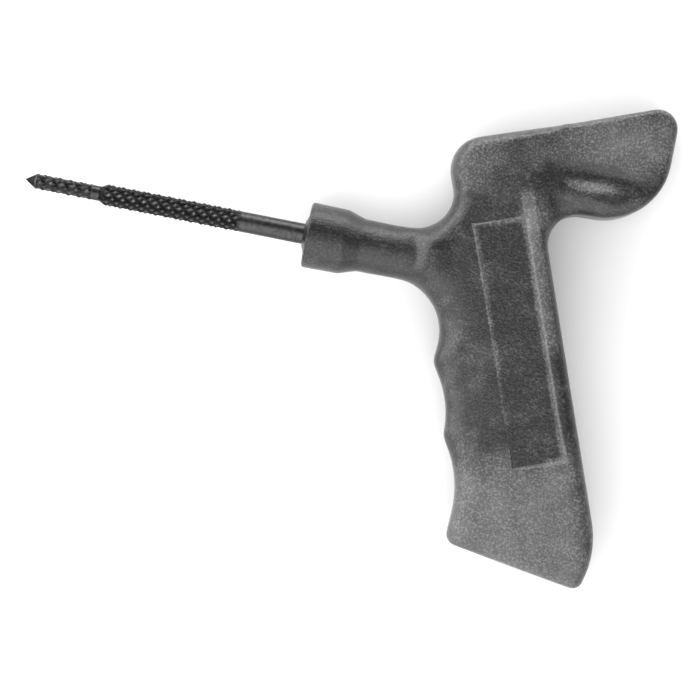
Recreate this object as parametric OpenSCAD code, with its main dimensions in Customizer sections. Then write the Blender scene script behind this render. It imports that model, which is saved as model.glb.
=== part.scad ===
// Pistol-grip tyre rasp: one cut steel rod moulded into a one-piece nylon handle.
// Millimetres. The rod lies along X with its point at -X, and the origin is on its axis at the
// front face of the handle's collar. The grip hangs towards -Y, the palm horn reaches towards
// +X and +Y, and Z is the thickness of the handle, which lies on its flat -Z side.

/* [Rasp] */
// Diameter of the plain steel shank
shank_d = 6.35; // [5:0.05:8]
// Diameter over the teeth of the main rasp
rasp_d = 6.82; // [6.4:0.02:9]
// Length of the toothed main rasp
rasp_len = 40.6; // [25:0.2:60]
// Plain shank between the teeth and the collar
shank_len = 21.4; // [12:0.2:40]
// Diameter over the teeth of the pilot rasp
pilot_d = 5.05; // [3.5:0.05:6]
// Length of the toothed pilot rasp
pilot_len = 17; // [8:0.5:30]
// Diameter of the plain neck behind the pilot rasp
pilot_neck_d = 4.7; // [3:0.1:5]
// Length of the plain neck behind the pilot rasp
pilot_neck_len = 3; // [1:0.5:8]
// Length of the cone between the neck and the main rasp
shoulder_len = 2; // [1:0.5:6]
// Angle across the point
point_angle = 70; // [40:1:110]

/* [Hidden tail of the rasp] */
// How deep the rod goes into the handle
tail_len = 38; // [36:0.5:39]
// Where the flattened wings begin, behind the collar's face
wing_start = 22; // [18:0.5:24]
// Length of the flattened wings
wing_len = 12; // [6:0.5:12]
// Width across the flattened wings
wing_w = 8.2; // [7:0.1:9]
// Thickness of the flattened wings
wing_t = 4; // [3:0.1:5]

/* [Collar and neck] */
// Diameter of the collar at its front face
collar_d = 20.2; // [18.4:0.1:24]
// Length of the straight part of the collar
collar_len = 11.5; // [8:0.5:14]
// Draft of the collar, taken off its diameter along its length
collar_draft = 0.4; // [0:0.1:1]
// Radius of the collar's front rim
collar_rim_r = 0.8; // [0.2:0.1:1.5]
// Length of the cone from the collar down to the neck
collar_cone_len = 5.5; // [3:0.5:8]
// Diameter of the neck
neck_d = 16.2; // [15:0.1:16.4]
// Diameter of the moulded lip that closes around the shank
lip_d = 8.8; // [8:0.1:10]
// How far that lip stands proud of the collar
lip_len = 1; // [0.4:0.1:2]

/* [Handle] */
// Thickness of the handle
handle_t = 26; // [22:0.5:30]
// Lean of the straight back edge from the Y axis, degrees
back_lean = 20.3; // [19:0.1:21]

/* [Sunk side panels] */
// Width of the panel
panel_w = 15.7; // [10:0.1:20]
// Length of the panel
panel_len = 74.5; // [40:0.5:76]
// Depth of the panel
panel_depth = 0.8; // [0.3:0.1:1.5]
// Distance from the back edge to the panel
panel_margin = 5.5; // [5:0.1:9]

/* [Hidden] */
$fn = 64;
half_t = handle_t / 2;
rasp_start = -shank_len - rasp_len;
neck_start = rasp_start - shoulder_len;
pilot_end = neck_start - pilot_neck_len;
pilot_start = pilot_end - pilot_len;
tip_x = pilot_start - pilot_d / 2 / tan(point_angle / 2);

// The handle's outline as a tangent polygon, clockwise from the top of the neck. Each row is a
// corner of the outline and its radius, then the same corner of the flat side face and its
// radius, then the number of steps around the corner.
BACK_LINE_X = 71.75;
corners = [
    [[27, 8.2], 0.3, [42, 2.5], 0.3, 1],           // top of the neck
    [[42.1, 8.2], 11.4, [50.5, 3], 13, 12],        // hollow above the neck
    [[42.1, 20.7], 5, [50.8, 22], 5, 3],           // step up to the horn
    [[35.8, 35.7], 10, [47.6, 34.6], 3, 12],       // front of the horn
    [[70.8, 47.8], 160, [71.4, 46], 160, 6],       // slightly hollow top of the horn
    [[104.5, 60.2], 6, [102.5, 57.4], 4, 10],      // upper rear corner of the horn
    [[104.5, 22.4], 19.4, [101.6, 25.3], 16, 15],  // rounded lower rear of the horn
    [[68.6, 21.3], 9.2, [62.6, 26.6], 13, 12],     // web where the thumb lies
    [[105.3, -78], 29, [101.6, -77.7], 26, 8],     // swell at the back of the butt
    [[101.75, -90.4], 3, [99.4, -88.1], 1.2, 6],   // lower rear corner of the butt
    [[59.5, -83.9], 3.2, [66.2, -82.9], 1, 6],     // lower front corner of the butt
    [[60.6, -64.9], 33, [68.4, -62.3], 38, 10],    // finger hollow above the butt
    [[52.9, -52.3], 4, [60.6, -49.4], 8, 5],       // lower finger ridge
    [[53.2, -42.5], 30, [60.8, -39.7], 36, 9],     // middle finger hollow
    [[45.3, -30.6], 4, [53.6, -28.2], 8, 5],       // upper finger ridge
    [[48.2, -7.9], 16.4, [55.2, -6.5], 16, 15],    // hollow under the neck
    [[27, -7.9], 0.3, [42, -2.5], 0.3, 1]          // bottom of the neck
];
ROUND_STEPS = 8;
least_wall = 1;
// The slab is as thick as the neck up to neck_end, and as thick as the handle from full_x on.
neck_end = 29;
full_x = 42;

function unit(v) = v / norm(v);

// Points around one corner of a tangent polygon: an arc of radius r that touches both its sides.
function corner_arc(before, at, after, r, steps) =
    let(to_a = unit(before - at), to_b = unit(after - at),
        half = acos(to_a * to_b) / 2,
        centre = at + unit(to_a + to_b) * r / sin(half),
        start = at + to_a * r / tan(half) - centre,
        turn = cross(-to_a, to_b) > 0 ? 180 - 2 * half : 2 * half - 180)
    [for (i = [0:steps]) let(w = turn * i / steps)
        centre + [start.x * cos(w) - start.y * sin(w), start.x * sin(w) + start.y * cos(w)]];

// The whole outline, from the corner and radius columns that start at the given column.
function outline(column) =
    let(n = len(corners))
    [for (i = [0:n - 1])
        each corner_arc(corners[(i + n - 1) % n][column], corners[i][column],
            corners[(i + 1) % n][column], corners[i][column + 1], corners[i][4])];

outer = outline(0);
inner = outline(2);

// Thickness at a place along X as a share of the handle's: it grows smoothly out of the neck.
function thickness_share(x) =
    let(t = min(max((x - neck_end) / (full_x - neck_end), 0), 1), low = neck_d / handle_t)
    low + (1 - low) * t * t * (3 - 2 * t);

// One ring of the handle's surface, from the parting plane (a = 0) to the flat side (a = 90).
// side is +1 or -1. The rounding at each point is as wide as the gap between the two outlines,
// and leaves at least a narrow upright wall at the parting plane.
function ring(a, side) =
    [for (i = [0:len(outer) - 1])
        let(gap = inner[i] - outer[i],
            r = min(norm(gap), half_t - least_wall / 2),
            p = outer[i] + gap * (1 - cos(a)))
        [p.x, p.y, side * thickness_share(p.x) * (half_t - r * (1 - sin(a)))]];

// Is p inside the clockwise triangle a, b, c or on its edge?
function within(p, a, b, c) =
    cross(b - a, p - a) <= 0 && cross(c - b, p - b) <= 0 && cross(a - c, p - c) <= 0;

// Can the corner at place k of the list be cut off? It must be convex, with no other point in it.
function is_ear(pts, left, k) =
    let(n = len(left), a = pts[left[(k + n - 1) % n]], b = pts[left[k]], c = pts[left[(k + 1) % n]])
    cross(b - a, c - b) < -0.0001
        && len([for (i = left) if (pts[i] != a && pts[i] != b && pts[i] != c
            && within(pts[i], a, b, c)) 1]) == 0;

function first_ear(pts, left, k) = is_ear(pts, left, k) ? k : first_ear(pts, left, k + 1);

// Splits a clockwise outline into triangles by cutting off one ear after another.
function triangles(pts, left) =
    len(left) == 3 ? [left] :
    let(n = len(left), k = first_ear(pts, left, 0))
    concat([[left[(k + n - 1) % n], left[k], left[(k + 1) % n]]],
        triangles(pts, [for (i = [0:n - 1]) if (i != k) left[i]]));

// The moulded slab with its rounded edges: rings of points joined by faces, flat on both sides.
module slab() {
    n = len(outer);
    angles = [for (k = [0:ROUND_STEPS]) 90 * k / ROUND_STEPS];
    rings = concat([for (k = [ROUND_STEPS:-1:0]) ring(angles[k], -1)],
        [for (k = [0:ROUND_STEPS]) ring(angles[k], 1)]);
    last = len(rings) - 1;
    walls = [for (k = [0:last - 1]) for (i = [0:n - 1])
        let(j = (i + 1) % n)
        each [[k * n + i, k * n + j, (k + 1) * n + j], [k * n + i, (k + 1) * n + j, (k + 1) * n + i]]];
    flat = triangles(inner, [for (i = [0:n - 1]) i]);
    polyhedron(points = [for (r = rings) each r],
        faces = concat([for (t = flat) [t[2], t[1], t[0]]], walls,
            [for (t = flat) [for (i = t) last * n + i]]));
}

// Collar, cone and neck, turned about the X axis. The neck runs on inside the slab.
module turned_front() {
    r1 = collar_d / 2;
    r2 = (collar_d - collar_draft) / 2;
    cone_end = collar_len + collar_cone_len;
    rim = [for (w = [0:15:90]) [r1 - collar_rim_r * (1 - sin(w)), collar_rim_r * (1 - cos(w))]];
    rotate([0, 90, 0])
        rotate_extrude()
            polygon(concat([[0, -lip_len], [lip_d / 2 - 0.4, -lip_len], [lip_d / 2, 0]], rim,
                [[r2, collar_len], [neck_d / 2, cone_end], [neck_d / 2, 38], [0, 38]]));
}

// The rod inside the handle: round, then flattened into wings, then round again.
module rod_tail() {
    rotate([0, 90, 0]) cylinder(d = shank_d, h = wing_start);
    translate([wing_start, -wing_w / 2, -wing_t / 2]) cube([wing_len, wing_w, wing_t]);
    translate([wing_start + wing_len, 0, 0])
        rotate([0, 90, 0]) cylinder(d = shank_d, h = tail_len - wing_start - wing_len);
}

// The block that sinks one side panel; its long side is parallel to the back edge.
module panel_cut(side) {
    far_edge = BACK_LINE_X - panel_margin;
    low_end = -80.2;
    rotate([0, 0, back_lean])
        translate([far_edge - panel_w, low_end, side > 0 ? half_t - panel_depth : -half_t - 1])
            cube([panel_w, panel_len, panel_depth + 1]);
}

module handle() {
    color("#3d3e40")
        difference() {
            union() {
                slab();
                turned_front();
            }
            panel_cut(1);
            panel_cut(-1);
            translate([-lip_len - 1, 0, 0])
                rotate([0, 90, 0]) cylinder(d = shank_d, h = lip_len + 2);
            rod_tail();
        }
}

module rasp() {
    color("#2a2b2d") {
        rotate([0, 90, 0])
            rotate_extrude()
                polygon([[0, tip_x], [pilot_d / 2, pilot_start], [pilot_d / 2, pilot_end],
                    [pilot_neck_d / 2, pilot_end], [pilot_neck_d / 2, neck_start],
                    [rasp_d / 2, rasp_start], [rasp_d / 2, -shank_len], [shank_d / 2, -shank_len],
                    [shank_d / 2, 0], [0, 0]]);
        rod_tail();
    }
}

handle();
rasp();
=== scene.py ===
import math

import bpy
import numpy as np
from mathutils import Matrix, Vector


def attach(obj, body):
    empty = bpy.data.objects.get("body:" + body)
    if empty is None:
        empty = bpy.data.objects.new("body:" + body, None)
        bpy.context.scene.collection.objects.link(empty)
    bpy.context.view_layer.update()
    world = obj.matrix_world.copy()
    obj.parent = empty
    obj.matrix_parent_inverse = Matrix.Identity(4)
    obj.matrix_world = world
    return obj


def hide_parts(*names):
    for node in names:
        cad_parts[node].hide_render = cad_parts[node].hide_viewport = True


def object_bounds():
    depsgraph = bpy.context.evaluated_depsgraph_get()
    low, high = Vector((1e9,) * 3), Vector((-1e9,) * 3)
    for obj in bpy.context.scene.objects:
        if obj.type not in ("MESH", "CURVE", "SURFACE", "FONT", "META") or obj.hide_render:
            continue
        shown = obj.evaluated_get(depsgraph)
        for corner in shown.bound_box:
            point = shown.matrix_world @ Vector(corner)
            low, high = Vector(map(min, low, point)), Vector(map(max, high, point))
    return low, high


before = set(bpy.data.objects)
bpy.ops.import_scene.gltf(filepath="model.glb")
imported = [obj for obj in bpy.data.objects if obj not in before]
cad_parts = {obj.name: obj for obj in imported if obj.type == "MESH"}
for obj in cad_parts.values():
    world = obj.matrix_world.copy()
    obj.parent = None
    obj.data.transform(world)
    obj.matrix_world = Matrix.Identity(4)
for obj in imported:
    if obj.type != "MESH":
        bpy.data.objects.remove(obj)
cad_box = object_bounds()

# ---------------------------------------------------------------------------------------
# The handle. One moulding of black glass-filled nylon: a round collar and neck, a grip with
# finger hollows and a flat panel on each side, and a palm horn. It is moulded around the rod,
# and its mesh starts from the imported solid, which has its outline and its rounded edges.
MM = 0.001                        # shapes are given in mm; materials and the studio in metres
SIDE = 13.0                       # half the handle's thickness
LEAN = math.radians(20.3)         # lean of the grip's straight back edge
HORN_RISE = math.radians(19.5)    # slope of the palm horn
PANEL_WIDTH = 15.7
PANEL_LENGTH = 74.5
PANEL_BACK = 66.25                # panel's rear side, measured across the grip
PANEL_FOOT = -80.2                # panel's low end, measured along the grip
PANEL_LEVEL = 11.75               # the flat panel's height over the parting plane
PANEL_WALL_FROM = 9.0             # anything nearer the parting plane is no part of a panel
WALL_SLOPE = 1.05                 # how far the panel's walls lean out, for a height of 1
POCKET_R = 3.175                  # a round pocket for the rod; its wings bite into the nylon
POCKET_END = 38
PLUG_R = 5.2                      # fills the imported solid's pocket before a round one is bored
VOXEL = 0.55


def alone(obj):
    """Selects one object and makes it active."""
    if bpy.context.object and bpy.context.object.mode != "OBJECT":
        bpy.ops.object.mode_set(mode="OBJECT")
    bpy.ops.object.select_all(action="DESELECT")
    obj.select_set(True)
    bpy.context.view_layer.objects.active = obj


def fix_place(obj):
    """Puts the object's place into its mesh."""
    alone(obj)
    bpy.ops.object.transform_apply(location=True, rotation=True, scale=True)


def apply_modifier(obj, kind, **settings):
    """Adds one modifier and applies it at once."""
    alone(obj)
    mod = obj.modifiers.new(kind.lower(), kind)
    for key, value in settings.items():
        setattr(mod, key, value)
    bpy.ops.object.modifier_apply(modifier=mod.name)


def cut(obj, cutter, operation="DIFFERENCE"):
    """Boolean with a tool object, which is used up."""
    apply_modifier(obj, "BOOLEAN", object=cutter, operation=operation, solver="EXACT")
    bpy.data.objects.remove(cutter)


def copy_of_node(node, name):
    """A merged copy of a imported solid, as a start for a piece."""
    alone(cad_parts[node])
    bpy.ops.object.duplicate()
    piece = bpy.context.object
    piece.name = name
    piece.data.name = name
    bpy.ops.object.mode_set(mode="EDIT")
    bpy.ops.mesh.select_all(action="SELECT")
    bpy.ops.mesh.remove_doubles(threshold=0.002 * MM)
    bpy.ops.object.mode_set(mode="OBJECT")
    return piece


def bar(x0, x1, radius, vertices=64, name="bar"):
    """A round bar along X, between two places in mm."""
    bpy.ops.object.select_all(action="DESELECT")
    bpy.ops.mesh.primitive_cylinder_add(
        vertices=vertices, radius=radius * MM, depth=(x1 - x0) * MM,
        location=((x0 + x1) / 2 * MM, 0, 0), rotation=(0, math.pi / 2, 0))
    piece = bpy.context.object
    piece.name = name
    fix_place(piece)
    return piece


def panel_block(low, high):
    """A finely divided block over the panel's outline, between two heights in mm."""
    across = PANEL_BACK - PANEL_WIDTH / 2
    along = PANEL_FOOT + PANEL_LENGTH / 2
    x = across * math.cos(LEAN) - along * math.sin(LEAN)
    y = across * math.sin(LEAN) + along * math.cos(LEAN)
    bpy.ops.object.select_all(action="DESELECT")
    bpy.ops.mesh.primitive_grid_add(
        size=1, x_subdivisions=10, y_subdivisions=48,
        location=(x * MM, y * MM, low * MM), rotation=(0, 0, LEAN))
    block = bpy.context.object
    block.scale = (PANEL_WIDTH * MM, PANEL_LENGTH * MM, 1)
    fix_place(block)
    bpy.ops.object.mode_set(mode="EDIT")
    bpy.ops.mesh.select_all(action="SELECT")
    bpy.ops.mesh.extrude_region_move(
        TRANSFORM_OT_translate={"value": (0, 0, (high - low) * MM)})
    bpy.ops.mesh.select_all(action="SELECT")
    bpy.ops.mesh.normals_make_consistent(inside=False)
    bpy.ops.object.mode_set(mode="OBJECT")
    return block


handle = copy_of_node("handle", "nylon_handle")
fillers = [
    bar(-0.5, POCKET_END + 1, PLUG_R),
    panel_block(PANEL_WALL_FROM, SIDE),
    panel_block(-SIDE, -PANEL_WALL_FROM)]
alone(handle)
for filler in fillers:
    filler.select_set(True)
bpy.ops.object.join()
apply_modifier(handle, "REMESH", mode="VOXEL", voxel_size=VOXEL * MM)


def points_mm(obj):
    """The mesh's points in mm, as rows of x, y and z."""
    co = np.empty(len(obj.data.vertices) * 3)
    obj.data.vertices.foreach_get("co", co)
    return co.reshape(-1, 3) / MM


def set_points_mm(obj, co):
    """Moves the mesh's points to places in mm."""
    obj.data.vertices.foreach_set("co", (co * MM).ravel())
    obj.data.update()


def ease(x, low, high):
    """0 below low, 1 above high, smooth between."""
    t = np.clip((x - low) / (high - low), 0, 1)
    return t * t * (3 - 2 * t)


def mound(x, y, at, radius_x, radius_y, turn=0.0):
    """A smooth hump of height 1 around a place, with its own two radii and turn."""
    dx, dy = x - at[0], y - at[1]
    a = dx * math.cos(turn) + dy * math.sin(turn)
    b = -dx * math.sin(turn) + dy * math.cos(turn)
    return np.exp(-(a / radius_x) ** 2 - (b / radius_y) ** 2)


def weigh(obj, name, weights):
    """A vertex group whose weights are rounded to twentieths."""
    group = obj.vertex_groups.new(name=name)
    steps = np.round(weights * 20).astype(int)
    for step in range(1, 21):
        chosen = np.nonzero(steps == step)[0]
        if len(chosen):
            group.add(chosen.tolist(), step / 20, "REPLACE")


x = points_mm(handle)[:, 0]
weigh(handle, "junction", ease(x, 20, 28) * (1 - ease(x, 46, 56)))
weigh(handle, "grip", ease(x, 18, 30))
apply_modifier(handle, "SMOOTH", factor=0.5, iterations=50, vertex_group="junction")
apply_modifier(handle, "SMOOTH", factor=0.5, iterations=8, vertex_group="grip")
apply_modifier(handle, "SMOOTH", factor=0.5, iterations=2)


def grip_place(x, y):
    """The place of a point across and along the grip."""
    across = x * math.cos(LEAN) + y * math.sin(LEAN)
    along = -x * math.sin(LEAN) + y * math.cos(LEAN)
    return across, along


def side_height(x, y):
    """How high the handle's side stands over the parting plane, in mm."""
    across, along = grip_place(x, y)
    drop = 0.3 + 0.45 * ease(along, -32, -8) + 0.35 * ease(-along, 60, 74)
    crown = drop * (np.clip(69 - across, 0, 19) / 18.5) ** 1.6
    crown += 0.03 * np.clip(50.5 - across, 0, 30) ** 1.7
    rib = 0.5 * ease(across, 64.6, 68) * (1 - ease(-along, 62, 80))
    flare = 0.95 * ease(-along, 62, 84)
    grip = 12.0 - crown + rib + flare + 0.7 * mound(x, y, (69.7, 15.7), 4, 4)
    horn = 11.4 + 1.4 * ease(x, 72, 97)
    horn -= 1.3 * mound(x, y, (87, 34.4), 13, 3.2)
    horn += 1.1 * mound(x, y, (83, 27.6), 10, 2.8)
    share = ease(-x * math.sin(HORN_RISE) + y * math.cos(HORN_RISE), -6, 12)
    share = np.maximum(share, ease(across, 70, 77))
    return np.minimum(grip * (1 - share) + horn * share, SIDE - 0.05)


co = points_mm(handle)
body_share = ease(co[:, 0], 36, 50)
co[:, 2] *= 1 + body_share * (side_height(co[:, 0], co[:, 1]) / SIDE - 1)
set_points_mm(handle, co)


def pad(side, low, high):
    """A block over the panel, with one face at the panel's level and its walls leaning out."""
    block = panel_block(min(low, high), max(low, high))
    co = points_mm(block)
    middle = np.array(grip_place(*co[:, :2].mean(axis=0)))
    place = np.array(grip_place(co[:, 0], co[:, 1])).T - middle
    spread = WALL_SLOPE * abs(co[:, 2] - low)[:, None]
    half = np.array((PANEL_WIDTH, PANEL_LENGTH)) / 2
    place = middle + place * (1 + spread / half)
    co[:, 0] = place[:, 0] * math.cos(LEAN) - place[:, 1] * math.sin(LEAN)
    co[:, 1] = place[:, 0] * math.sin(LEAN) + place[:, 1] * math.cos(LEAN)
    co[:, 2] *= side
    set_points_mm(block, co)
    if side < 0:
        block.data.flip_normals()
    return block


for side in (1, -1):
    cut(handle, pad(side, PANEL_LEVEL, PANEL_LEVEL - 2), "UNION")
    cut(handle, pad(side, PANEL_LEVEL, SIDE + 1))
cut(handle, bar(-3, POCKET_END, POCKET_R))
alone(handle)
bpy.ops.object.shade_smooth_by_angle(angle=math.radians(30))

# How much lighter the skin is, from 0 to 1: partly glass fibre showing at the skin, partly painted
# light. The butt and the low front are lighter from both; the band behind the panel, the thumb web, the
# horn's rear, front corner and ridge, and the panel's edges get painted highlights, and the horn's
# valley a painted shade.
co = points_mm(handle)
x, y = co[:, 0], co[:, 1]
across, along = grip_place(x, y)
past_side = abs(across - PANEL_BACK + PANEL_WIDTH / 2) - PANEL_WIDTH / 2
past_end = abs(along - PANEL_FOOT - PANEL_LENGTH / 2) - PANEL_LENGTH / 2
past_panel = np.maximum(past_side, past_end)
on_side = abs(co[:, 2]) > PANEL_WALL_FROM
inside = (past_panel < 0.05) & on_side
# Painted highlight lines along the panel's edges, not wear.
painted_panel_lines = (abs(past_panel) < 0.3) & on_side

# Lighter butt and low front: glass fibre showing, and partly painted light.
fibres_and_painted_light = 0.62 * ease(-along, 68, 88) * (1 - inside) * (1 - 0.7 * ease(across, 64, 71))
fibres_and_painted_light *= 0.65 + 0.35 * ease(across, 34, 46)
fibres_and_painted_light += 0.02
fibres_and_painted_light += 0.06 * ease(-along, 30, 50) * ease(-across, -52, -44)
# Painted highlights: a band behind the panel, the thumb web, the horn's rear bulge, its front corner and
# ridge, and the horn overall.
back_band = ease(across, 65.6, 66.4) * (1 - ease(across, 69, 71))
fibres_and_painted_light += 0.5 * back_band * ease(along, -56, -34) * ease(-along, -5, 1)
fibres_and_painted_light += 0.4 * mound(x, y, (66.5, 18), 4, 5)
fibres_and_painted_light += 0.45 * mound(x, y, (93, 45), 15, 8)
fibres_and_painted_light += 0.2 * mound(x, y, (48, 34), 5, 5)
fibres_and_painted_light += 0.6 * mound(x, y, (82.5, 30.4), 8, 1.6)
fibres_and_painted_light += 0.19 * ease(along, 2, 10)
# Painted shade along the horn's valley.
fibres_and_painted_light -= 0.4 * mound(x, y, (86, 34.6), 15, 2.6)
fibres_and_painted_light -= 0.08 * inside
upper = ease(along, -76, -40)
# Painted highlight lines on the panel's edges, stronger towards the top and the rear side.
fibres_and_painted_light += painted_panel_lines * (0.5 * upper + (0.9 - 0.5 * upper) * ease(across, 56, 66))
fibres_and_painted_light = np.clip(fibres_and_painted_light * ease(x, 30, 46), 0, 1)
skin = handle.data.attributes.new("fibres_and_painted_light", "FLOAT", "POINT")
skin.data.foreach_set("value", fibres_and_painted_light.astype(np.float32))


def node_maker(material):
    """Gives a short way to add nodes to a material and to link them."""
    tree = material.node_tree

    def add(kind, inputs=None, **settings):
        node = tree.nodes.new(kind)
        for key, value in settings.items():
            setattr(node, key, value)
        for key, value in (inputs or {}).items():
            if isinstance(value, bpy.types.NodeSocket):
                tree.links.new(value, node.inputs[key])
            else:
                node.inputs[key].default_value = value
        return node

    return add


nylon = bpy.data.materials.new("black_nylon")
nylon.use_nodes = True
shader = nylon.node_tree.nodes["Principled BSDF"]
add = node_maker(nylon)
place = add("ShaderNodeTexCoord").outputs["Object"]
fibres_and_painted_light = add("ShaderNodeAttribute", attribute_name="fibres_and_painted_light").outputs["Fac"]
patches = add("ShaderNodeTexNoise", {
    "Vector": place, "Scale": 150, "Detail": 5, "Roughness": 0.65})
pebble = add("ShaderNodeTexNoise", {
    "Vector": place, "Scale": 1600, "Detail": 2, "Roughness": 0.6})
# Bright flecks in the base colour: glass fibre flecks, and partly painted glints of the pebbled skin.
fleck = add("ShaderNodeTexNoise", {
    "Vector": place, "Scale": 1500, "Detail": 2, "Roughness": 0.6})
patch = add("ShaderNodeMapRange", {
    "Value": patches.outputs["Fac"], "From Min": 0.35, "From Max": 0.65,
    "To Min": -0.15, "To Max": 0.13})
amount = add("ShaderNodeMath", {0: patch.outputs["Result"], 1: fibres_and_painted_light})
amount.use_clamp = True
# The base colour is lighter where fibre shows and at the painted highlights, and darker at the painted
# shade.
resin = add("ShaderNodeMapRange", {
    "Value": amount.outputs["Value"], "To Min": 0.0015, "To Max": 0.095})
dots = add("ShaderNodeMapRange", {
    "Value": amount.outputs["Value"], "From Max": 0.3, "To Min": 0.026, "To Max": 0.085})
tone = add("ShaderNodeMapRange", {
    "Value": fleck.outputs["Fac"], "From Min": 0.46, "From Max": 0.68,
    "To Min": 0.0, "To Max": dots.outputs["Result"]})
tone = add("ShaderNodeMath", {0: tone.outputs["Result"], 1: resin.outputs["Result"]})
nylon.node_tree.links.new(tone.outputs["Value"], shader.inputs["Base Color"])
rough = add("ShaderNodeMapRange", {
    "Value": amount.outputs["Value"], "To Min": 0.28, "To Max": 0.38})
nylon.node_tree.links.new(rough.outputs["Result"], shader.inputs["Roughness"])
relief = add("ShaderNodeMapRange", {
    "Value": amount.outputs["Value"], "To Min": 0.55, "To Max": 1.0})
bump = add("ShaderNodeBump", {
    "Height": pebble.outputs["Fac"], "Strength": relief.outputs["Result"], "Distance": 0.0003})
nylon.node_tree.links.new(bump.outputs["Normal"], shader.inputs["Normal"])
handle.data.materials.clear()
handle.data.materials.append(nylon)
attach(handle, "root")
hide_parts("handle")

# ---------------------------------------------------------------------------------------
# The rasp. One 1/4 inch steel rod, black-oxided: a cone point, a thin and a thick stretch of
# teeth left standing between two crossing sets of helical grooves, and a plain shank. Its
# tail is flattened into wings inside the handle, so that it can't turn or pull out.
SHANK_R = 3.175
CREST_R = 3.41                    # over the tips of the main teeth
PILOT_R = 2.525                   # over the tips of the pilot's teeth
POINT_END = -83.5
PILOT_STEP = -64.5                # where the pilot meets the main stretch
TEETH_END = -20.5


def turned(stations, vertices=64, name="turned"):
    """A turned solid along X from (place, radius) pairs in mm, drawn ring by ring."""
    (x, r), rest = stations[0], stations[1:]
    bpy.ops.object.select_all(action="DESELECT")
    bpy.ops.mesh.primitive_circle_add(
        vertices=vertices, radius=r * MM, fill_type="NGON",
        location=(x * MM, 0, 0), rotation=(0, math.pi / 2, 0))
    piece = bpy.context.object
    piece.name = name
    fix_place(piece)
    bpy.ops.object.mode_set(mode="EDIT")
    bpy.ops.mesh.select_all(action="SELECT")
    for next_x, next_r in rest:
        bpy.ops.mesh.extrude_region_move(
            TRANSFORM_OT_translate={"value": ((next_x - x) * MM, 0, 0)})
        bpy.ops.transform.resize(
            value=(1, next_r / r, next_r / r), center_override=(next_x * MM, 0, 0))
        x, r = next_x, next_r
    bpy.ops.mesh.select_all(action="SELECT")
    bpy.ops.mesh.normals_make_consistent(inside=False)
    bpy.ops.object.mode_set(mode="OBJECT")
    return piece


def fluted_bar(x0, x1, crest, root, grooves, lead):
    """A bar whose section is a star of grooves, twisted once in every lead of its length."""
    bpy.ops.object.select_all(action="DESELECT")
    bpy.ops.mesh.primitive_circle_add(
        vertices=2 * grooves, radius=crest * MM, fill_type="NOTHING",
        location=(x0 * MM, 0, 0), rotation=(0, math.pi / 2, 0))
    piece = bpy.context.object
    fix_place(piece)
    for i, vertex in enumerate(piece.data.vertices):
        if i % 2:
            vertex.co.y *= root / crest
            vertex.co.z *= root / crest
    steps = round((x1 - x0) / 0.4)
    apply_modifier(piece, "SCREW", axis="X", angle=2 * math.pi * (x1 - x0) / lead,
                   screw_offset=(x1 - x0) * MM, steps=steps, render_steps=steps,
                   use_merge_vertices=False)
    bpy.ops.object.mode_set(mode="EDIT")
    bpy.ops.mesh.select_all(action="SELECT")
    bpy.ops.mesh.fill_holes(sides=0)
    bpy.ops.mesh.select_all(action="SELECT")
    bpy.ops.mesh.normals_make_consistent(inside=False)
    bpy.ops.object.mode_set(mode="OBJECT")
    return piece


def toothed(stations, crest, root, grooves, leads):
    """A turned stretch cut by two crossing sets of helical grooves."""
    stretch = turned(stations, vertices=96)
    x0, x1 = stations[0][0] - 1, stations[-1][0] + 1
    for count, lead in zip(grooves, leads):
        cut(stretch, fluted_bar(x0, x1, crest, root, count, lead), "INTERSECT")
    return stretch


point_and_core = [(-87.6, 0.08), (-84.1, 2.5), (-83.7, 2.0), (-67.4, 2.0), (-66.8, 2.3)]
core_and_shank = [(-64.2, 2.3), (-63, 2.7), (-22.8, 2.75), (-20.4, SHANK_R), (22, SHANK_R)]
rasp = turned(point_and_core + core_and_shank, name="steel_rasp")
pilot = toothed(
    [(-84.15, 2.46), (-84, PILOT_R), (-67.4, PILOT_R), (-66.6, 2.25)],
    crest=2.56, root=2.08, grooves=(6, 8), leads=(22.2, -22.8))
main = toothed(
    [(-64.4, 2.25), (-62, CREST_R), (-22.2, CREST_R), (-20.3, 3.0)],
    crest=3.46, root=2.85, grooves=(8, 10), leads=(29.6, -27.3))
bpy.ops.object.select_all(action="DESELECT")
bpy.ops.mesh.primitive_cube_add(
    size=1, location=(28 * MM, 0, 0), scale=(12.4 * MM, 8.2 * MM, 4 * MM))
wings = bpy.context.object
fix_place(wings)
apply_modifier(wings, "BEVEL", width=0.5 * MM, segments=2)
stub = bar(33.9, POCKET_END, SHANK_R)
for extra in (pilot, main, wings, stub):
    cut(rasp, extra, "UNION")
alone(rasp)
bpy.ops.object.shade_smooth_by_angle(angle=math.radians(25))

steel = bpy.data.materials.new("black_oxide_steel")
steel.use_nodes = True
shader = steel.node_tree.nodes["Principled BSDF"]
shader.inputs["Metallic"].default_value = 1.0
add = node_maker(steel)
place = add("ShaderNodeTexCoord").outputs["Object"]
grain = add("ShaderNodeTexNoise", {"Vector": place, "Scale": 900, "Detail": 3, "Roughness": 0.6})
axes = add("ShaderNodeSeparateXYZ", {"Vector": place})
across = add("ShaderNodeCombineXYZ", {"Y": axes.outputs["Y"], "Z": axes.outputs["Z"]})
radius = add("ShaderNodeVectorMath", {0: across.outputs["Vector"]}, operation="LENGTH")
crest = add("ShaderNodeMapRange", {
    "Value": axes.outputs["X"], "From Min": (PILOT_STEP - 0.1) * MM, "From Max": (PILOT_STEP + 0.1) * MM,
    "To Min": PILOT_R * MM, "To Max": CREST_R * MM})
below = add("ShaderNodeMath", {
    0: crest.outputs["Result"], 1: radius.outputs["Value"]}, operation="SUBTRACT")
on_teeth = add("ShaderNodeMath", {0: axes.outputs["X"], 1: TEETH_END * MM}, operation="LESS_THAN")
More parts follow.
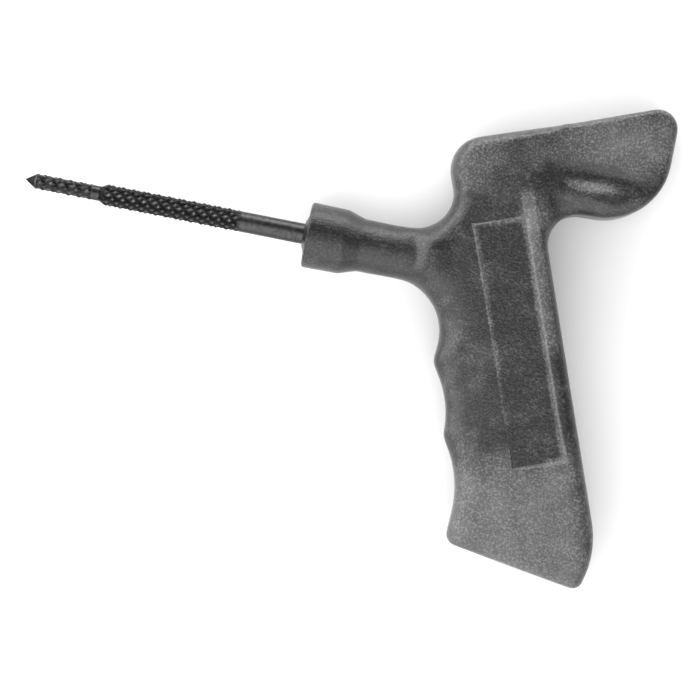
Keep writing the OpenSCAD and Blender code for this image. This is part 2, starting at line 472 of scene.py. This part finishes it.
# Lighter tooth tips: bare steel worn through the oxide, and partly a painted glint; weaker on the pilot.
worn_and_glinting = add("ShaderNodeMapRange", {
    "Value": below.outputs["Value"], "From Min": 0.0, "From Max": 0.00009,
    "To Min": 1.0, "To Max": 0.0})
wear_and_glint = add("ShaderNodeMapRange", {
    "Value": axes.outputs["X"], "From Min": (PILOT_STEP - 0.1) * MM, "From Max": (PILOT_STEP + 0.1) * MM,
    "To Min": 0.2, "To Max": 1.0})
behind_point = add("ShaderNodeMath", {
    0: axes.outputs["X"], 1: POINT_END * MM}, operation="GREATER_THAN")
worn_and_glinting = add("ShaderNodeMath", {
    0: worn_and_glinting.outputs["Result"], 1: behind_point.outputs["Value"]}, operation="MULTIPLY")
worn_and_glinting_here = add("ShaderNodeMath", {
    0: worn_and_glinting.outputs["Value"], 1: wear_and_glint.outputs["Result"]}, operation="MULTIPLY")
tips = add("ShaderNodeMath", {
    0: worn_and_glinting_here.outputs["Value"], 1: on_teeth.outputs["Value"]}, operation="MULTIPLY")
oxide = add("ShaderNodeMapRange", {
    "Value": grain.outputs["Fac"], "From Min": 0.3, "From Max": 0.7,
    "To Min": 0.034, "To Max": 0.07})
# Painted shade: the base colour darkens deeper in the teeth's grooves.
grooves = add("ShaderNodeMapRange", {
    "Value": below.outputs["Value"], "From Min": 0.0001, "From Max": 0.0005,
    "To Min": 1.1, "To Max": 0.22})
groove_shade_tone = add("ShaderNodeMix", {
    "Factor": on_teeth.outputs["Value"], "A": 1.0, "B": grooves.outputs["Result"]},
    data_type="FLOAT")
skin_tone = add("ShaderNodeMath", {
    0: oxide.outputs["Result"], 1: groove_shade_tone.outputs[0]}, operation="MULTIPLY")
# Tips mixed to a lighter base colour: worn bare steel and partly a painted glint.
tone = add("ShaderNodeMix", {
    "Factor": tips.outputs["Value"], "A": skin_tone.outputs["Value"], "B": 0.3},
    data_type="FLOAT")
steel.node_tree.links.new(tone.outputs["Result"], shader.inputs["Base Color"])
rough = add("ShaderNodeMapRange", {
    "Value": grain.outputs["Fac"], "To Min": 0.22, "To Max": 0.36})
steel.node_tree.links.new(rough.outputs["Result"], shader.inputs["Roughness"])
bump = add("ShaderNodeBump", {
    "Height": grain.outputs["Fac"], "Strength": 0.3, "Distance": 0.0001})
steel.node_tree.links.new(bump.outputs["Normal"], shader.inputs["Normal"])
rasp.data.materials.clear()
rasp.data.materials.append(steel)
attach(rasp, "root")
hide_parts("rasp")

# ---------------------------------------------------------------------------------------
# The studio. A pale floor under the tool, and a soft light tent around it: dark overhead,
# with one bright wall beyond the horn and a fill from the far side. The camera looks
# straight down, turned a little, so that the rasp slopes.
bpy.ops.object.select_all(action="DESELECT")
bpy.ops.mesh.primitive_plane_add(size=6, location=(0.02, -0.03, cad_box[0][2]))
floor = bpy.context.object
floor.name = "floor"
paper = bpy.data.materials.new("pale_floor")
paper.use_nodes = True
shader = paper.node_tree.nodes["Principled BSDF"]
shader.inputs["Base Color"].default_value = (0.86, 0.86, 0.86, 1)
shader.inputs["Roughness"].default_value = 0.8
floor.data.materials.append(paper)

TILT = math.radians(11.17)
world = bpy.data.worlds.new("studio")
world.use_nodes = True
sky = world.node_tree.nodes["Background"]
sky.inputs["Color"].default_value = (1, 1, 1, 1)
add = node_maker(world)
direction = add("ShaderNodeTexCoord").outputs["Generated"]
height = add("ShaderNodeSeparateXYZ", {"Vector": direction}).outputs["Z"]


def towards(turn, elevation, low, high):
    """1 towards a direction of the studio and 0 away from it, between two cosines."""
    turn, elevation = math.radians(turn) + TILT, math.radians(elevation)
    flat = math.cos(elevation)
    way = (math.cos(turn) * flat, math.sin(turn) * flat, math.sin(elevation))
    cosine = add("ShaderNodeVectorMath", {0: direction, 1: way}, operation="DOT_PRODUCT")
    share = add("ShaderNodeMapRange", {
        "Value": cosine.outputs["Value"], "From Min": low, "From Max": high},
        interpolation_type="SMOOTHSTEP")
    return share.outputs["Result"]


tent = add("ShaderNodeMapRange", {
    "Value": height, "From Min": 0.2, "From Max": 0.97, "To Min": 0.8, "To Max": 0.4})
wall = add("ShaderNodeMapRange", {
    "Value": height, "From Min": 0.25, "From Max": 0.68, "To Min": 5.0, "To Max": 0.0})
key = add("ShaderNodeMath", {
    0: wall.outputs["Result"], 1: towards(115, 0, -0.2, 0.7), 2: tent.outputs["Result"]},
    operation="MULTIPLY_ADD")
light = add("ShaderNodeMath", {
    0: towards(250, 45, 0.5, 0.95), 1: 2.2, 2: key.outputs["Value"]}, operation="MULTIPLY_ADD")
world.node_tree.links.new(light.outputs["Value"], sky.inputs["Strength"])
bpy.context.scene.world = world
bpy.context.scene.view_settings.view_transform = "Standard"

CAMERA_HEIGHT = 1.0               # metres
VIEW_WIDTH = 0.21421              # metres across the picture, at the parting plane
AIM = Vector((0.01991, -0.03211, 0))
camera = bpy.data.cameras.new("camera")
camera.sensor_width = 36
camera.lens = 36 * CAMERA_HEIGHT / VIEW_WIDTH
camera.clip_start = 0.01
camera_holder = bpy.data.objects.new("camera", camera)
camera_holder.location = AIM + Vector((0, 0, CAMERA_HEIGHT))
camera_holder.rotation_euler = (0, 0, TILT)
bpy.context.collection.objects.link(camera_holder)
bpy.context.scene.camera = camera_holder
